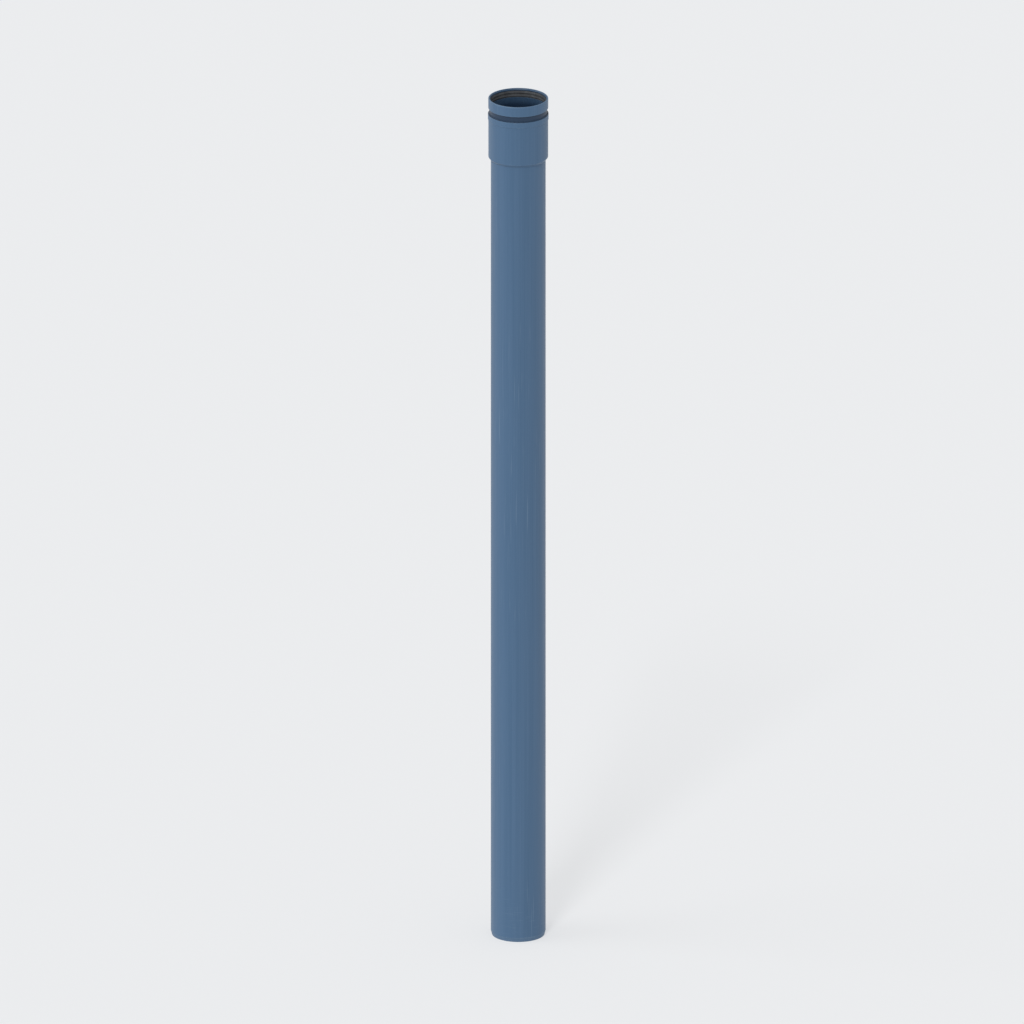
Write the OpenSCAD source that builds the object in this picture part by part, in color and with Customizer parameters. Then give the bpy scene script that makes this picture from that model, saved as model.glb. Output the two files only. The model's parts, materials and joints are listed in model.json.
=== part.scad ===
// Polypropylene sewer pipe with a push-fit socket, DN/OD 50, laying length 750 mm.
// The pipe stands on its spigot end, with its axis on +Z and its socket mouth up.

/* [Barrel] */
// Outside diameter of the barrel, which is the size the pipe is sold by
barrel_od = 50; // [32:1:160]
// Wall thickness of the barrel
barrel_wall = 2; // [1.6:0.1:4]
// Laying length, from the spigot end to the stop inside the socket
laying_length = 750; // [150:10:3000]

/* [Spigot end] */
// Length of the chamfer that leads the spigot into a socket
chamfer_length = 4; // [2:0.5:7]
// Angle between the chamfer and the pipe's axis, in degrees
chamfer_angle = 15; // [8:1:20]

/* [Socket] */
// Depth of the socket, from its mouth to the stop
socket_depth = 58; // [40:1:150]
// Radial clearance between the socket's bore and a spigot
spigot_clearance = 0.25; // [0.1:0.05:1]
// Wall thickness of the socket
socket_wall = 2; // [1.6:0.1:4]
// Length of the sloping shoulder between barrel and socket
shoulder_length = 2.4; // [1.6:0.1:12]
// Radius that blends the shoulder into barrel and socket
shoulder_round = 0.8; // [0.2:0.1:1.6]

/* [Mouth collar] */
// Height of the collar, from the mouth down to the groove
collar_height = 9.5; // [9:0.1:16]
// How far the collar stands out from the socket's wall
collar_rise = 0.1; // [0:0.05:0.75]
// Radius of the collar's outer top edge
rim_round = 0.6; // [0.1:0.1:1]
// Radial width of the lead-in chamfer at the mouth
lead_in_width = 0.6; // [0.1:0.1:0.9]
// Length of the lead-in chamfer at the mouth
lead_in_length = 1.2; // [0.4:0.1:1.9]

/* [Groove and bead] */
// Width of the groove below the collar
groove_width = 5.3; // [1:0.1:8]
// Depth of the groove below the collar's outside
groove_depth = 1.1; // [0.65:0.05:1.6]
// Radius of the groove's edges
groove_round = 0.3; // [0.05:0.05:0.5]
// Height of the bead below the groove
bead_height = 5.6; // [2:0.1:10]
// How far the bead stands out from the socket's wall
bead_rise = 0.4; // [0.25:0.05:2]
// Radius of the bead's crest
bead_round = 0.4; // [0.1:0.05:0.9]

/* [Seal seat] */
// Distance from the mouth to the seat, past the lip that keeps the seal in
seat_offset = 2.2; // [1.4:0.1:2.7]
// How far the lip stands back from the socket's bore
lip_relief = 0.35; // [0.1:0.05:0.6]
// Height of the seat
seat_height = 6.2; // [5.4:0.1:6.7]
// Depth of the seat below the socket's bore
seat_depth = 0.85; // [0.7:0.05:1.2]

/* [Seal ring] */
// Clearance between the seal ring and its seat
seal_clearance = 0.05; // [0.02:0.01:0.1]
// Thickness of the ring's heel, which lies in the seat
heel_thickness = 0.6; // [0.4:0.05:0.8]
// Number of sealing lips
lip_count = 2; // [1:1:2]
// Height of a lip at its root
lip_root = 1.5; // [0.8:0.1:1.8]
// Height of a lip at its tip
lip_tip = 0.5; // [0.2:0.1:0.7]
// How far a lip's tip hangs below its root's middle
lip_droop = 0.8; // [0:0.1:1]
// Gap between a lip and a spigot, with the lips pressed back as in use
lip_gap = 0.05; // [0.02:0.01:0.2]
// Radius of the heel's corners
heel_round = 0.15; // [0.05:0.05:0.25]

/* [Hidden] */

// Segments in each rounded corner, and facets round the axis in a preview
corner_steps = 6;
$fn = 180;

pipe_color = [0.30, 0.41, 0.53];
seal_color = [0.07, 0.07, 0.08];

// Radii of the pipe's turned surfaces
barrel_r = barrel_od / 2;
bore_r = barrel_r - barrel_wall;
spigot_end_r = barrel_r - chamfer_length * tan(chamfer_angle);
socket_bore_r = barrel_r + spigot_clearance;
socket_r = socket_bore_r + socket_wall;
collar_r = socket_r + collar_rise;
groove_r = collar_r - groove_depth;
bead_r = socket_r + bead_rise;
mouth_lip_r = socket_bore_r + lip_relief;
mouth_r = mouth_lip_r + lead_in_width;
seat_r = socket_bore_r + seat_depth;

// Heights of the pipe's features above its spigot end
mouth_z = laying_length + socket_depth;
groove_top_z = mouth_z - collar_height;
groove_bottom_z = groove_top_z - groove_width;
bead_bottom_z = groove_bottom_z - bead_height;
seat_top_z = mouth_z - seat_offset;
seat_bottom_z = seat_top_z - seat_height;
stop_top_z = laying_length + shoulder_length;

// The shoulder's outer cone lies one wall outside its inner cone, so that the wall stays even
shoulder_slope = atan2(socket_bore_r - bore_r, shoulder_length);
shoulder_shift = (barrel_wall / cos(shoulder_slope) - barrel_wall) / tan(shoulder_slope);

// The bead's lower flank falls as far as the bead stands out
bead_flank = min(bead_rise, bead_height / 2);

// Radii and heights of the seal ring
seal_r = seat_r - seal_clearance;
heel_r = seal_r - heel_thickness;
lip_tip_r = barrel_r + lip_gap;
seal_top_z = seat_top_z - seal_clearance;
seal_bottom_z = seat_bottom_z + seal_clearance;
lip_pitch = (seal_top_z - seal_bottom_z) / lip_count;

// Unit vector along a flat vector
function along(v) = v / norm(v);

// Arc that rounds the corner b of an outline between its neighbours a and c, each [x, y, radius]
function corner_arc(a, b, c) =
    let (
        corner = [b.x, b.y],
        to_a = along([a.x, a.y] - corner),
        to_c = along([c.x, c.y] - corner),
        half_angle = acos(to_a * to_c) / 2,
        centre = corner + along(to_a + to_c) * b.z / sin(half_angle),
        start = corner + to_a * b.z / tan(half_angle) - centre,
        end = corner + to_c * b.z / tan(half_angle) - centre,
        first = atan2(start.y, start.x),
        turn = atan2(start.x * end.y - start.y * end.x, start * end)
    )
    [for (step = [0:corner_steps])
        let (angle = first + turn * step / corner_steps)
        centre + b.z * [cos(angle), sin(angle)]];

// Points of a closed outline of corners [x, y, radius], where a radius of 0 is a sharp corner
function rounded(corners) =
    let (count = len(corners))
    [for (i = [0:count - 1])
        let (before = corners[(i + count - 1) % count], after = corners[(i + 1) % count])
        each corners[i].z > 0
            ? corner_arc(before, corners[i], after)
            : [[corners[i].x, corners[i].y]]];

// Half section of the pipe, up the outside from the spigot end and down the inside from the mouth
pipe_corners = [
    [spigot_end_r, 0, 0],
    [barrel_r, chamfer_length, 0],
    [barrel_r, laying_length - shoulder_shift, shoulder_round],
    [socket_r, stop_top_z - shoulder_shift, shoulder_round],
    [socket_r, bead_bottom_z, groove_round],
    [bead_r, bead_bottom_z + bead_flank, bead_round],
    [bead_r, groove_bottom_z, bead_round],
    [groove_r, groove_bottom_z, groove_round],
    [groove_r, groove_top_z, groove_round],
    [collar_r, groove_top_z, groove_round],
    [collar_r, mouth_z, rim_round],
    [mouth_r, mouth_z, 0],
    [mouth_lip_r, mouth_z - lead_in_length, 0],
    [mouth_lip_r, seat_top_z, 0],
    [seat_r, seat_top_z, 0],
    [seat_r, seat_bottom_z, 0],
    [socket_bore_r, seat_bottom_z, 0],
    [socket_bore_r, stop_top_z, 0],
    [bore_r, laying_length, 0],
    [bore_r, 0, 0],
];

// Root, tip and root again of one sealing lip, whose tip points down into the socket
function lip_corners(i) =
    let (root_z = seal_top_z - lip_pitch * i - lip_pitch / 2 + lip_droop / 2)
    [
        [heel_r, root_z + lip_root / 2, 0],
        [lip_tip_r, root_z - lip_droop + lip_tip / 2, 0],
        [lip_tip_r, root_z - lip_droop - lip_tip / 2, 0],
        [heel_r, root_z - lip_root / 2, 0],
    ];

// Section of the seal ring: a heel in the seat, with its lips on the inside
seal_corners = [
    [seal_r, seal_bottom_z, heel_round],
    [seal_r, seal_top_z, heel_round],
    [heel_r, seal_top_z, heel_round],
    for (i = [0:lip_count - 1]) each lip_corners(i),
    [heel_r, seal_bottom_z, heel_round],
];

// Extruded barrel with a belled socket, in one piece
module pipe() {
    color(pipe_color)
        rotate_extrude()
            polygon(rounded(pipe_corners));
}

// Rubber lip seal, pressed into the seat inside the socket's mouth
module seal_ring() {
    color(seal_color)
        rotate_extrude()
            polygon(rounded(seal_corners));
}

pipe();
seal_ring();
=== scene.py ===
import json
import math
import bpy
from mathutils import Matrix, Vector


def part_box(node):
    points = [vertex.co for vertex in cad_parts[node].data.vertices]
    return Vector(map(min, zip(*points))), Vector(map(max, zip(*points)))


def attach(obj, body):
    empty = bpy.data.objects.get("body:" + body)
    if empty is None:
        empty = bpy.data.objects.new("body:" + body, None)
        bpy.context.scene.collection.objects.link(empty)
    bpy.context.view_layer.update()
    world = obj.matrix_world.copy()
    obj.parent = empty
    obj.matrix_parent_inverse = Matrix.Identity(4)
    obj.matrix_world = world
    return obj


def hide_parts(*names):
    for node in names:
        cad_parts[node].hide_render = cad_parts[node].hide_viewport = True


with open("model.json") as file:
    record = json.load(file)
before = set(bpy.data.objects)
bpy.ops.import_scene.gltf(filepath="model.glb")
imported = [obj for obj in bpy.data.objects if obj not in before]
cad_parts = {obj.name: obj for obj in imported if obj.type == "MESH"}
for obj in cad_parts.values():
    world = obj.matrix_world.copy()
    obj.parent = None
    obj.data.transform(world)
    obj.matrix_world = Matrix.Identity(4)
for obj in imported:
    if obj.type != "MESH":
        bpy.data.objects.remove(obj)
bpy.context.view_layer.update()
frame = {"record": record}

mm = 0.001
mounts = {mount["name"]: mount["dims"] for mount in frame["record"]["mounts"]}
barrelRadius = mounts["spigot"]["r_mm"]
socketBore = mounts["socket"]["r_mm"]
flowBore = mounts["flow_bore"]["r_mm"]
layingLength = mounts["flow_bore"]["length_mm"]
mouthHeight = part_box("pipe")[1].z / mm
sealBottom, sealTop = (corner.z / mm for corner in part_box("seal_ring"))
print("frame: barrel", barrelRadius * 2, "mm across,", round(mouthHeight), "mm long")


# Materials: node trees written as sums

noiseMiddle = 0.5  # what a noise gives on average


class Flow:  # a socket that takes part in Python sums, each of which adds a Math node
    def __init__(self, tree, socket=None):
        self.tree = tree
        self.socket = socket

    def node(self, kind, settings=None, inputs=None, out=0):
        made = self.tree.nodes.new(kind)
        for name, value in (settings or {}).items():
            setattr(made, name, value)
        for name, value in (inputs or {}).items():
            if isinstance(value, Flow):
                self.tree.links.new(value.socket, made.inputs[name])
            else:
                made.inputs[name].default_value = value
        return Flow(self.tree, made.outputs[out]) if len(made.outputs) else made

    def reckon(self, operation, first, second):
        return self.node("ShaderNodeMath", {"operation": operation}, {0: first, 1: second})

    def __add__(self, other):
        return self.reckon("ADD", self, other)

    def __radd__(self, other):
        return self.reckon("ADD", other, self)

    def __sub__(self, other):
        return self.reckon("SUBTRACT", self, other)

    def __rsub__(self, other):
        return self.reckon("SUBTRACT", other, self)

    def __mul__(self, other):
        return self.reckon("MULTIPLY", self, other)

    def __rmul__(self, other):
        return self.reckon("MULTIPLY", other, self)

    def mix(self, factor, first, second):  # two colours, which are sockets 6 and 7 of the node
        settings = {"data_type": "RGBA", "clamp_factor": True}
        return self.node("ShaderNodeMix", settings, {0: factor, 6: first, 7: second}, out=2)

    def rise(self, value, low, high):  # 0 below low, 1 above high, smooth between
        settings = {"interpolation_type": "SMOOTHSTEP"}
        return self.node("ShaderNodeMapRange", settings, {"Value": value, 1: low, 2: high})

    def stretch(self, place, scale):  # a place times (x, y, z)
        return self.node("ShaderNodeVectorMath", {"operation": "MULTIPLY"}, {0: place, 1: scale})

    def length(self, place):
        return self.node("ShaderNodeVectorMath", {"operation": "LENGTH"}, {0: place}, out="Value")

    def noise(self, place, scale, detail, rough=0.5):  # scale is (x, y, z) per metre
        spot = self.stretch(place, scale)
        inputs = {"Vector": spot, "Scale": 1.0, "Detail": detail, "Roughness": rough}
        return self.node("ShaderNodeTexNoise", {"noise_dimensions": "3D"}, inputs)

    def bump(self, relief, look):
        inputs = {"Height": relief, "Strength": look["bumpStrength"], "Distance": look["bumpDepth"] * mm}
        return self.node("ShaderNodeBump", inputs=inputs)


def newMaterial(name):  # an empty node tree, and the place that its patterns read
    material = bpy.data.materials.new(name)
    material.use_nodes = True
    material.node_tree.nodes.clear()
    flow = Flow(material.node_tree)
    return material, flow, flow.node("ShaderNodeTexCoord", out="Object")


def setSurface(flow, inputs):  # a Principled shader with these inputs, on the material's output
    shader = flow.node("ShaderNodeBsdfPrincipled", inputs=inputs)
    flow.node("ShaderNodeOutputMaterial", inputs={"Surface": shader})


# Turned pieces: a section with rounded corners, swept round the axis
# A corner is (radius, height, round, painted shade of the wall after it), a row is (point, painted shade,
# edge wear)


def cornerArc(before, here, after, size):  # rows round one corner
    corner = Vector((*here[:2], 0))
    back = (Vector((*before[:2], 0)) - corner).normalized()
    ahead = (Vector((*after[:2], 0)) - corner).normalized()
    bend, paintedShadeBefore, paintedShadeAfter = here[2], before[3], here[3]
    half = back.angle(ahead) / 2
    centre = corner + (back + ahead).normalized() * bend / math.sin(half)
    start = corner + back * bend / math.tan(half) - centre
    end = corner + ahead * bend / math.tan(half) - centre
    crest = 1 if back.cross(ahead).z > 0 else 0  # only a corner that stands out wears
    foot = crest * size["wearFoot"]
    rows = []
    for step in range(size["arcSteps"] + 1):
        t = step / size["arcSteps"]
        point = centre + start.slerp(end, t) * bend
        # painted shade eases from one wall's value to the next round the corner
        shade = paintedShadeBefore + (paintedShadeAfter - paintedShadeBefore) * t
        rows.append((point, shade, foot + (crest - foot) * math.sin(math.pi * t)))
    return rows


def wallRows(start, end, size):  # rows along the straight wall between two corners
    (here, shade, wearHere), (there, _, wearThere) = start, end
    loop, reach = size["edgeLoop"], size["wearReach"]
    run = there - here
    length = run.length
    if length < 3 * loop:  # too short for a row near each end and one between
        return []
    inset = reach if length > 2 * reach + loop else loop
    inner = length - 2 * inset
    count = max(1, math.ceil(inner / size["ringPitch"]))
    places = [inset + inner * k / count for k in range(count + 1)]
    if inset > loop:
        places = [loop, *places, length - loop]
    rows = []
    for place in places:
        wear = max(wearHere * (1 - place / reach), wearThere * (1 - (length - place) / reach), 0)
        rows.append((here + run * place / length, shade, wear))
    return rows


def roundedOutline(corners, size):  # all rows of a closed section
    count = len(corners)
    arcs = [cornerArc(corners[k - 1], corners[k], corners[(k + 1) % count], size) for k in range(count)]
    outline = []
    for arc, following in zip(arcs, arcs[1:] + arcs[:1]):
        outline += arc + wallRows(arc[-1], following[0], size)
    return outline


def turnedTree(name):  # sweeps a section round the axis
    tree = bpy.data.node_groups.new(name, "GeometryNodeTree")
    kinds = {
        "Section": "NodeSocketGeometry",
        "Segments": "NodeSocketInt",
        "Path Radius": "NodeSocketFloat",
        "Finish": "NodeSocketMaterial",
    }
    for label, kind in kinds.items():
        tree.interface.new_socket(label, in_out="INPUT", socket_type=kind)
    tree.interface.new_socket("Turned", in_out="OUTPUT", socket_type="NodeSocketGeometry")
    flow = Flow(tree)
    given = {label: flow.node("NodeGroupInput", out=label) for label in kinds}
    section = flow.node("GeometryNodeMeshToCurve", inputs={"Mesh": given["Section"]})
    path = flow.node(
        "GeometryNodeCurvePrimitiveCircle",
        inputs={"Resolution": given["Segments"], "Radius": given["Path Radius"]},
    )
    swept = flow.node("GeometryNodeCurveToMesh", inputs={"Curve": path, "Profile Curve": section})
    smooth = flow.node("GeometryNodeSetShadeSmooth", inputs={"Geometry": swept})
    real = flow.node("GeometryNodeRealizeInstances", inputs={"Geometry": smooth})
    dressed = flow.node(
        "GeometryNodeSetMaterial",
        inputs={"Geometry": real, "Material": given["Finish"]},
    )
    flow.node("NodeGroupOutput", inputs={"Turned": dressed})
    return tree


def sectionLoop(name, outline):  # the section as a loop of edges, seen from the circle that it rides on
    count = len(outline)
    loop = bpy.data.meshes.new(name)
    points = [((point.x - barrelRadius) * mm, -point.y * mm, 0) for point, _, _ in outline]
    loop.from_pydata(points, [(k, (k + 1) % count) for k in range(count)], [])
    for label, column in (("shade", 1), ("edge", 2)):  # carried along the sweep for the materials
        values = [row[column] for row in outline]
        loop.attributes.new(label, "FLOAT", "POINT").data.foreach_set("value", values)
    return loop


def turnedPiece(name, tree, outline, segments, material):
    loop = sectionLoop(name + "Section", outline)
    maker = bpy.data.objects.new(name + "Section", loop)
    bpy.context.scene.collection.objects.link(maker)
    modifier = maker.modifiers.new("turned", "NODES")
    modifier.node_group = tree
    sockets = {item.name: item.identifier for item in tree.interface.items_tree if item.in_out == "INPUT"}
    modifier[sockets["Segments"]] = segments
    modifier[sockets["Path Radius"]] = barrelRadius * mm
    modifier[sockets["Finish"]] = material
    graph = bpy.context.evaluated_depsgraph_get()
    mesh = bpy.data.meshes.new_from_object(maker.evaluated_get(graph))
    maker.modifiers.remove(modifier)
    bpy.data.objects.remove(maker)
    bpy.data.meshes.remove(loop)
    mesh.name = name
    piece = bpy.data.objects.new(name, mesh)
    bpy.context.scene.collection.objects.link(piece)
    print(name, len(mesh.polygons), "faces")
    return piece


turned = turnedTree("turnedSection")


# The pipe: an extruded barrel with a belled socket, turned from one section

pipeSizes = {  # millimetres, degrees, shares and counts
    "chamferLength": 4.0,
    "chamferAngle": 15.0,
    "socketWall": 2.0,
    "shoulderLength": 2.4,
    "shoulderRound": 0.8,
    "collarHeight": 9.5,
    "collarRise": 0.1,
    "rimRound": 0.6,
    "leadInWidth": 0.6,
    "leadInLength": 1.2,
    "lipRelief": 0.35,
    "grooveWidth": 5.3,
    "grooveDepth": 1.1,
    "grooveRound": 0.3,
    "beadHeight": 5.6,
    "beadRise": 0.4,
    "beadRound": 0.4,
    "seatOffset": 2.2,
    "seatHeight": 6.2,
    "seatDepth": 0.85,
    "seatRound": 0.2,
    "edgeRound": 0.25,
    "grooveShade": 0.80,  # how far a wall's colour goes to the painted shade colour
    "boreShade": 0.90,
    "leadInShade": 0.45,
    "edgeLoop": 0.12,  # a row this near each rounded edge keeps the wall beside it flat
    "wearReach": 0.9,  # how far along a wall the wear of its edge fades out
    "wearFoot": 0.6,  # wear where the round of an edge starts, against 1 on its crest
    "segments": 240,
    "arcSteps": 6,
    "ringPitch": 20.0,
}


def pipeSection(size):  # corners down the outside and up the inside
    socketRadius = socketBore + size["socketWall"]
    collarRadius = socketRadius + size["collarRise"]
    beadRadius = socketRadius + size["beadRise"]
    grooveRadius = collarRadius - size["grooveDepth"]
    grooveTop = mouthHeight - size["collarHeight"]
    grooveBottom = grooveTop - size["grooveWidth"]
    beadBottom = grooveBottom - size["beadHeight"]
    lipRadius = socketBore + size["lipRelief"]
    seatRadius = socketBore + size["seatDepth"]
    seatTop = mouthHeight - size["seatOffset"]
    seatBottom = seatTop - size["seatHeight"]
    stopTop = layingLength + size["shoulderLength"]
    wall = barrelRadius - flowBore
    slope = math.atan2(socketBore - flowBore, size["shoulderLength"])
    shift = (wall / math.cos(slope) - wall) / math.tan(slope)  # keeps the shoulder's wall even
    spigotEnd = barrelRadius - size["chamferLength"] * math.tan(math.radians(size["chamferAngle"]))
    edge, seat = size["edgeRound"], size["seatRound"]
    groove, bead, shoulder = size["grooveRound"], size["beadRound"], size["shoulderRound"]
    # painted shade: the groove and the inside of the pipe are given a darker colour for the shade that
    # falls in them
    dark, inside = size["grooveShade"], size["boreShade"]
    return [
        (lipRadius + size["leadInWidth"], mouthHeight, edge, 0),
        (collarRadius, mouthHeight, size["rimRound"], 0),
        (collarRadius, grooveTop, groove, dark),
        (grooveRadius, grooveTop, groove, dark),
        (grooveRadius, grooveBottom, groove, dark),
        (beadRadius, grooveBottom, bead, 0),
        (beadRadius, beadBottom + size["beadRise"], bead, 0),
        (socketRadius, beadBottom, groove, 0),
        (socketRadius, stopTop - shift, shoulder, 0),
        (barrelRadius, layingLength - shift, shoulder, 0),
        (barrelRadius, size["chamferLength"], edge, 0),
        (spigotEnd, 0.0, edge, 0),
        (flowBore, 0.0, edge, inside),
        (flowBore, layingLength, edge, inside),
        (socketBore, stopTop, edge, inside),
        (socketBore, seatBottom, seat, inside),
        (seatRadius, seatBottom, seat, inside),
        (seatRadius, seatTop, seat, inside),
        (lipRadius, seatTop, seat, inside),
        (lipRadius, mouthHeight - size["leadInLength"], edge, size["leadInShade"]),
    ]


plasticLook = {  # colours, patterns, shares and millimetres
    "color": (0.0535, 0.1165, 0.209, 1),
    "pale": (0.0665, 0.133, 0.232, 1),
    # painted shade: the dark colour that the groove and the bore are painted towards
    "shade": (0.004, 0.016, 0.042, 1),
    "worn": (0.165, 0.240, 0.330, 1),
    "streaks": {"scale": (160, 160, 3), "detail": 3.0},  # per metre, across and along the pipe
    "dieLines": {"scale": (1500, 1500, 4), "detail": 2.0},
    "rubs": {"scale": (950, 950, 18), "detail": 1.0},
    "scuffs": {"scale": (50, 50, 1300), "detail": 2.0},
    "patches": {"scale": (26, 26, 12), "detail": 3.0, "rough": 0.6},
    "chips": {"scale": (700, 700, 1100), "detail": 3.0, "rough": 0.6},
    "grain": {"scale": (4200, 4200, 4200), "detail": 1.0},
    "peel": {"scale": (520, 520, 760), "detail": 1.0},
    "turnedRings": {"scale": (5200, 0, 0), "detail": 1.0},
    "streakShare": 0.5,
    "toneLevels": (0.3, 0.7),
    "rubLevels": (0.60, 0.74),
    "patchLevels": (0.45, 0.65),
    "chipLevels": (0.9333, 1.2333),  # of chips and patches together
    "scuffReach": 90.0,  # height above the spigot's end that other sockets have rubbed
    "cutBlend": 0.1,
    "mouthLight": 0.42,  # painted light: how much paler the painted shade of the bore is next to the mouth
    "mouthDepths": (10.5, 16.5),
    "edgeWear": 0.50,
    "rubWear": 0.30,
    "scuffWear": 0.22,
    "cutWear": 0.30,
    "roughness": 0.47,
    "lineGloss": 0.20,
    "patchGloss": 0.12,
    "rubRoughness": 0.10,
    "cutRoughness": 0.10,
    "grainShare": 0.35,
    "peelShare": 1.1,
    "bellSmoothing": 0.55,  # how much of the die lines the heated bell has lost
    "bellBlend": 12.0,
    "ringShare": 1.2,
    "bumpDepth": 0.05,
    "bumpStrength": 0.55,
    "specular": 0.35,
    "sheen": 0.04,
}


def cutEnds(flow, height, look, size):  # 1 on the turned chamfer and on the mouth's cut face
    blend = look["cutBlend"] * mm
    chamferTop = size["chamferLength"] * mm
    rimBottom = (mouthHeight - size["rimRound"] / 2) * mm
    chamfer = 1 - flow.rise(height, chamferTop - blend, chamferTop + blend)
    return chamfer + flow.rise(height, rimBottom - blend, rimBottom + blend)


def paintedMouthLight(flow, height, radius, look, size):  # painted light: the painted shade of the bore eases off near the mouth, where daylight still reaches
    start, end = (depth * mm for depth in look["mouthDepths"])
    outside = flow.rise(radius, socketBore * mm, (socketBore + size["seatDepth"]) * mm)
    deep = flow.rise(mouthHeight * mm - height, start, end)
    return look["mouthLight"] * (1 - outside) * (1 - deep)


def handlingMarks(flow, place, height, patches, look):  # pale rubs along the pipe, and round its spigot
    patchy = flow.rise(patches, *look["patchLevels"])
    rubs = flow.rise(flow.noise(place, **look["rubs"]), *look["rubLevels"]) * patchy
    pushed = 1 - flow.rise(height, 0.0, look["scuffReach"] * mm)
    scuffs = flow.rise(flow.noise(place, **look["scuffs"]), *look["rubLevels"]) * pushed
    return look["rubWear"] * rubs + look["scuffWear"] * scuffs


def pipePlastic(look, size):  # satin blue polypropylene, drawn lengthwise and cut at its ends
    material, flow, place = newMaterial("pipePlastic")
    height = flow.node("ShaderNodeSeparateXYZ", inputs={0: place}, out="Z")
    radius = flow.length(flow.stretch(place, (1, 1, 0)))
    shade = flow.node("ShaderNodeAttribute", {"attribute_name": "shade"}, out="Fac")
    edge = flow.node("ShaderNodeAttribute", {"attribute_name": "edge"}, out="Fac")
    streaks, lines, patches, chips, grain, peel = (
        flow.noise(place, **look[name])
        for name in ("streaks", "dieLines", "patches", "chips", "grain", "peel")
    )
    alongCut = flow.node("ShaderNodeCombineXYZ", inputs={"X": radius + height})
    rings = flow.noise(alongCut, **look["turnedRings"])
    bell = flow.rise(height, layingLength * mm, (layingLength + look["bellBlend"]) * mm)
    cut = cutEnds(flow, height, look, size)
    marks = handlingMarks(flow, place, height, patches, look)
    edgeWear = look["edgeWear"] * edge * flow.rise(chips + patches, *look["chipLevels"])
    tone = look["streakShare"] * streaks + (1 - look["streakShare"]) * lines
    base = flow.mix(flow.rise(tone, *look["toneLevels"]), look["color"], look["pale"])
    base = flow.mix(edgeWear + marks + look["cutWear"] * cut * rings, base, look["worn"])
    # painted shade in the groove and the bore, with painted light next to the mouth
    base = flow.mix(shade * (1 - paintedMouthLight(flow, height, radius, look, size)), base, look["shade"])
    rough = look["roughness"] + look["lineGloss"] * (lines - noiseMiddle)
    rough = rough + look["patchGloss"] * (patches - noiseMiddle)
    rough = rough + look["rubRoughness"] * marks + look["cutRoughness"] * cut
    relief = lines * (1 - look["bellSmoothing"] * bell) + look["peelShare"] * peel * bell
    relief = relief + look["grainShare"] * grain + look["ringShare"] * cut * rings
    setSurface(flow, {
        "Base Color": base,
        "Roughness": rough,
        "Normal": flow.bump(relief, look),
        "Specular IOR Level": look["specular"],
        "Sheen Weight": look["sheen"],
    })
    return material


pipeFinish = pipePlastic(plasticLook, pipeSizes)
pipeOutline = roundedOutline(pipeSection(pipeSizes), pipeSizes)
pipe = turnedPiece("pipe_shell", turned, pipeOutline, pipeSizes["segments"], pipeFinish)
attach(pipe, "root")
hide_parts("pipe")


# The seal: a rubber ring with two lips, in its seat behind the mouth

sealSizes = {  # millimetres, shares and counts
    "clearance": 0.05,
    "heel": 0.6,
    "heelRound": 0.15,
    "lipCount": 2,
    "lipRoot": 1.5,
    "lipTip": 0.5,
    "lipDroop": 0.8,
    "lipGap": 0.05,
    "lipRound": 0.12,
    "edgeLoop": 0.03,
    "wearReach": 0.9,
    "wearFoot": 0.6,
    "segments": 192,
    "arcSteps": 4,
    "ringPitch": 2.0,
}


def sealSection(size):  # corners down the outside and up the lips
    outer = socketBore + pipeSizes["seatDepth"] - size["clearance"]
    heel = outer - size["heel"]
    tip = barrelRadius + size["lipGap"]
    pitch = (sealTop - sealBottom) / size["lipCount"]
    corners = [
        (heel, sealTop, size["heelRound"], 0),
        (outer, sealTop, size["heelRound"], 0),
        (outer, sealBottom, size["heelRound"], 0),
        (heel, sealBottom, size["heelRound"], 0),
    ]
    for index in reversed(range(size["lipCount"])):
        root = sealTop - pitch * (index + 0.5) + size["lipDroop"] / 2
        low = root - size["lipDroop"]
        corners += [
            (heel, root - size["lipRoot"] / 2, size["lipRound"], 0),
            (tip, low - size["lipTip"] / 2, size["lipRound"], 0),
            (tip, low + size["lipTip"] / 2, size["lipRound"], 0),
            (heel, root + size["lipRoot"] / 2, size["lipRound"], 0),
        ]
    return corners


rubberLook = {  # colours, patterns, shares and millimetres
    "color": (0.041, 0.044, 0.049, 1),
    "bloomColor": (0.070, 0.076, 0.083, 1),
    "bloom": {"scale": (220, 220, 220), "detail": 4.0, "rough": 0.6},
    "grain": {"scale": (6000, 6000, 6000), "detail": 1.0},
    "bloomLevels": (0.35, 0.75),
    "roughness": 0.62,
    "bloomRoughness": 0.2,
    "bumpDepth": 0.03,
    "bumpStrength": 0.3,
}


def sealRubber(look):  # black rubber with a faint grey bloom
    material, flow, place = newMaterial("sealRubber")
    bloom = flow.noise(place, **look["bloom"])
    grain = flow.noise(place, **look["grain"])
    base = flow.mix(flow.rise(bloom, *look["bloomLevels"]), look["color"], look["bloomColor"])
    rough = look["roughness"] + look["bloomRoughness"] * (bloom - noiseMiddle)
    setSurface(flow, {"Base Color": base, "Roughness": rough, "Normal": flow.bump(grain, look)})
    return material


sealFinish = sealRubber(rubberLook)
sealOutline = roundedOutline(sealSection(sealSizes), sealSizes)
seal = turnedPiece("seal_lips", turned, sealOutline, sealSizes["segments"], sealFinish)
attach(seal, "root")
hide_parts("seal_ring")


# The stage: a pale floor, soft light and the camera

floorLook = {
    "size": 12.0,  # metres
    "color": (0.28, 0.2835, 0.2884, 1),
    "roughness": 0.9,
    "glow": 0.545,
    "glowColor": (1.0, 1.012, 1.03, 1),
    "boreColor": (0.08, 0.082, 0.085, 1),  # painted shade: the floor's glow is dimmed to this inside the pipe
}

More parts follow.
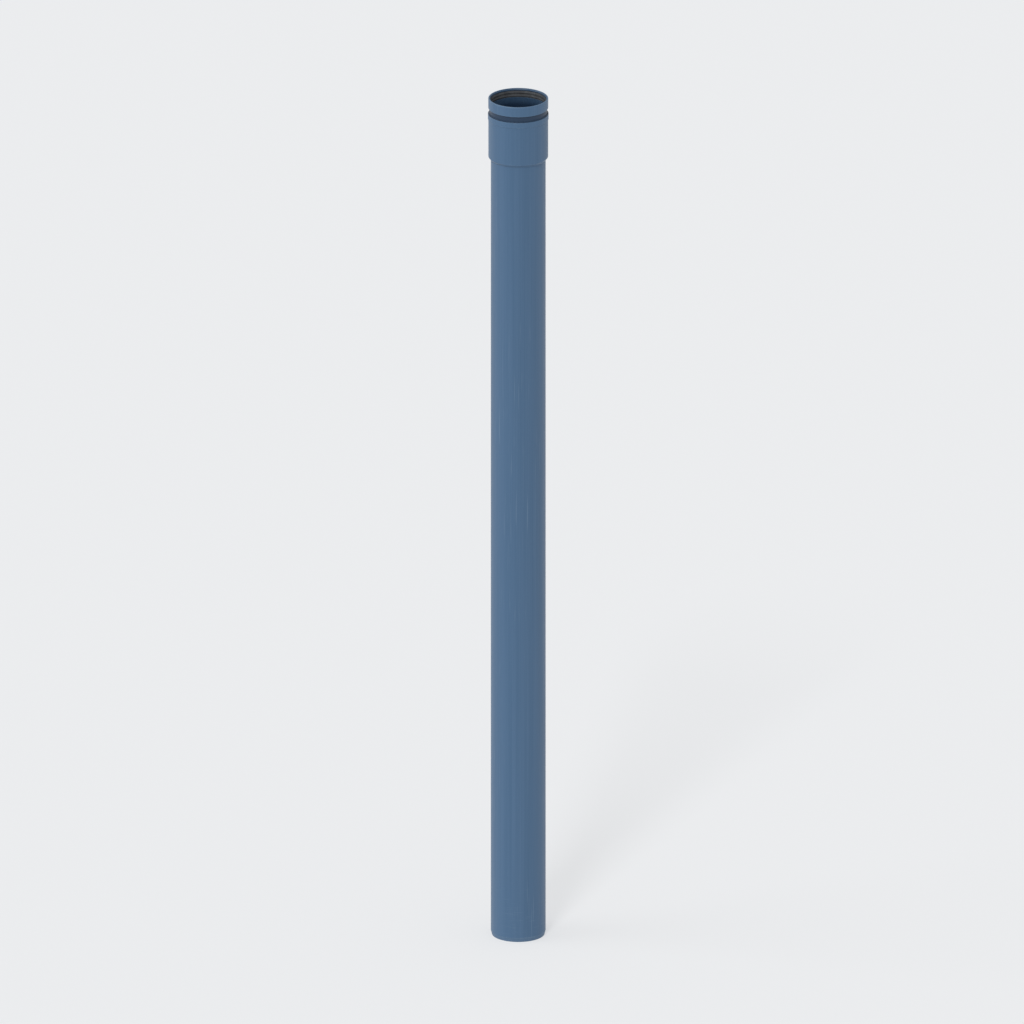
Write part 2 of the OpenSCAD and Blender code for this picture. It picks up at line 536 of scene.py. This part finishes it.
lightLook = {
    "skyColor": (1.0, 1.0, 1.0, 1),
    "skyStrength": 0.64,
    "suns": {  # azimuth is in degrees to the left of the camera
        "key": {"strength": 1.25, "spread": 11.0, "azimuth": 15.5, "elevation": 45.0},
        "fill": {"strength": 0.80, "spread": 40.0, "azimuth": 85.0, "elevation": 25.0},
    },
}

cameraLook = {
    "elevation": 19.5,
    "pixelsPerMillimetre": 1.0971,
    "framePixels": 1024,
    "axisPixels": 6.25,  # how far the pipe's axis stands right of the frame's middle
    "middlePixels": 3.5,  # how far the pipe's middle stands below the frame's middle
    "distance": 4.0,  # metres
}


def skyward(azimuth, elevation):  # direction from the object to a light or the camera
    turn, lift = math.radians(azimuth), math.radians(elevation)
    return Vector((-math.sin(turn) * math.cos(lift), -math.cos(turn) * math.cos(lift), math.sin(lift)))


def makeFloor(look):
    half = look["size"] / 2
    mesh = bpy.data.meshes.new("floor")
    corners = [(-half, -half, 0), (half, -half, 0), (half, half, 0), (-half, half, 0)]
    mesh.from_pydata(corners, [], [(0, 1, 2, 3)])
    floor = bpy.data.objects.new("floor", mesh)
    bpy.context.scene.collection.objects.link(floor)
    material, flow, place = newMaterial("floorPaint")
    # painted shade on the floor inside the pipe's bore, where its glow is dimmed
    clear = flow.rise(flow.length(place), flowBore * mm, (flowBore + barrelRadius) / 2 * mm)
    setSurface(flow, {
        "Base Color": look["color"],
        "Roughness": look["roughness"],
        "Specular IOR Level": 0.0,
        "Emission Color": flow.mix(clear, look["boreColor"], look["glowColor"]),
        "Emission Strength": look["glow"],
    })
    mesh.materials.append(material)


def makeLight(look):
    world = bpy.data.worlds.new("softSky")
    world.use_nodes = True
    back = world.node_tree.nodes["Background"]
    back.inputs["Color"].default_value = look["skyColor"]
    back.inputs["Strength"].default_value = look["skyStrength"]
    bpy.context.scene.world = world
    for name, sun in look["suns"].items():
        lamp = bpy.data.lights.new(name, "SUN")
        lamp.angle = math.radians(sun["spread"])
        lamp.energy = sun["strength"]
        light = bpy.data.objects.new(name, lamp)
        away = skyward(sun["azimuth"], sun["elevation"])
        light.rotation_euler = away.to_track_quat("Z", "Y").to_euler()
        bpy.context.scene.collection.objects.link(light)


def makeCamera(look):
    lift = math.radians(look["elevation"])
    scale = look["pixelsPerMillimetre"] / mm
    middle = mouthHeight * mm / 2 + look["middlePixels"] / scale / math.cos(lift)
    target = Vector((-look["axisPixels"] / scale, 0, middle))
    lens = bpy.data.cameras.new("camera")
    lens.type = "ORTHO"
    lens.ortho_scale = look["framePixels"] / scale
    camera = bpy.data.objects.new("camera", lens)
    camera.location = target + skyward(0, look["elevation"]) * look["distance"]
    camera.rotation_euler = (math.pi / 2 - lift, 0, 0)
    bpy.context.scene.collection.objects.link(camera)
    bpy.context.scene.camera = camera


makeFloor(floorLook)
makeLight(lightLook)
makeCamera(cameraLook)
bpy.context.scene.view_settings.view_transform = "Standard"
print("stage: floor, light and camera")
